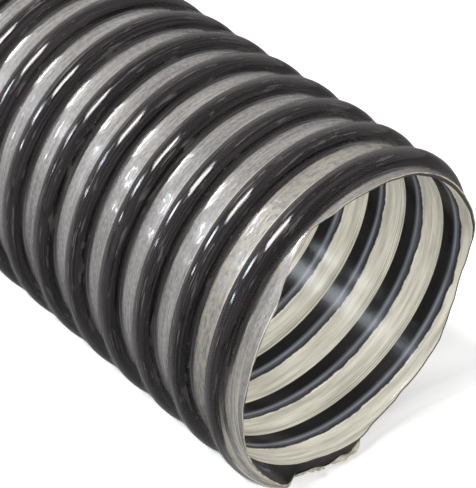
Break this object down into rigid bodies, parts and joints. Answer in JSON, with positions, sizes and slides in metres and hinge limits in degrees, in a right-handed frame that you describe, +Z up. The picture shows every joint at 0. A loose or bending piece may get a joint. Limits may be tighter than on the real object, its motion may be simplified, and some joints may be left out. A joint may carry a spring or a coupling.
{
  "type": "leaf vacuum hose",
  "caption": "Straight length of clear flexible suction hose with a dark rigid rib wound round it as a helix, one end cut square and the other cut by hand.",
  "frame": {"origin": "on the floor under the middle of the hose's length, at the bottom centre of its box", "axes": "+X along the hose towards its hand-cut end, +Z up from the floor it lies on, +Y across"},
  "size_m": [1.524, 0.17, 0.17],
  "materials": {
    "clear_pvc": "clear flexible PVC, slightly milky, satin gloss with extrusion lines",
    "dark_pvc": "rigid black-brown PVC, glossy under a thin clear skin"
  },
  "bodies": {
    "root": {"clear_wall": "clear_pvc", "rib_helix": "dark_pvc"}
  },
  "joints": []
}
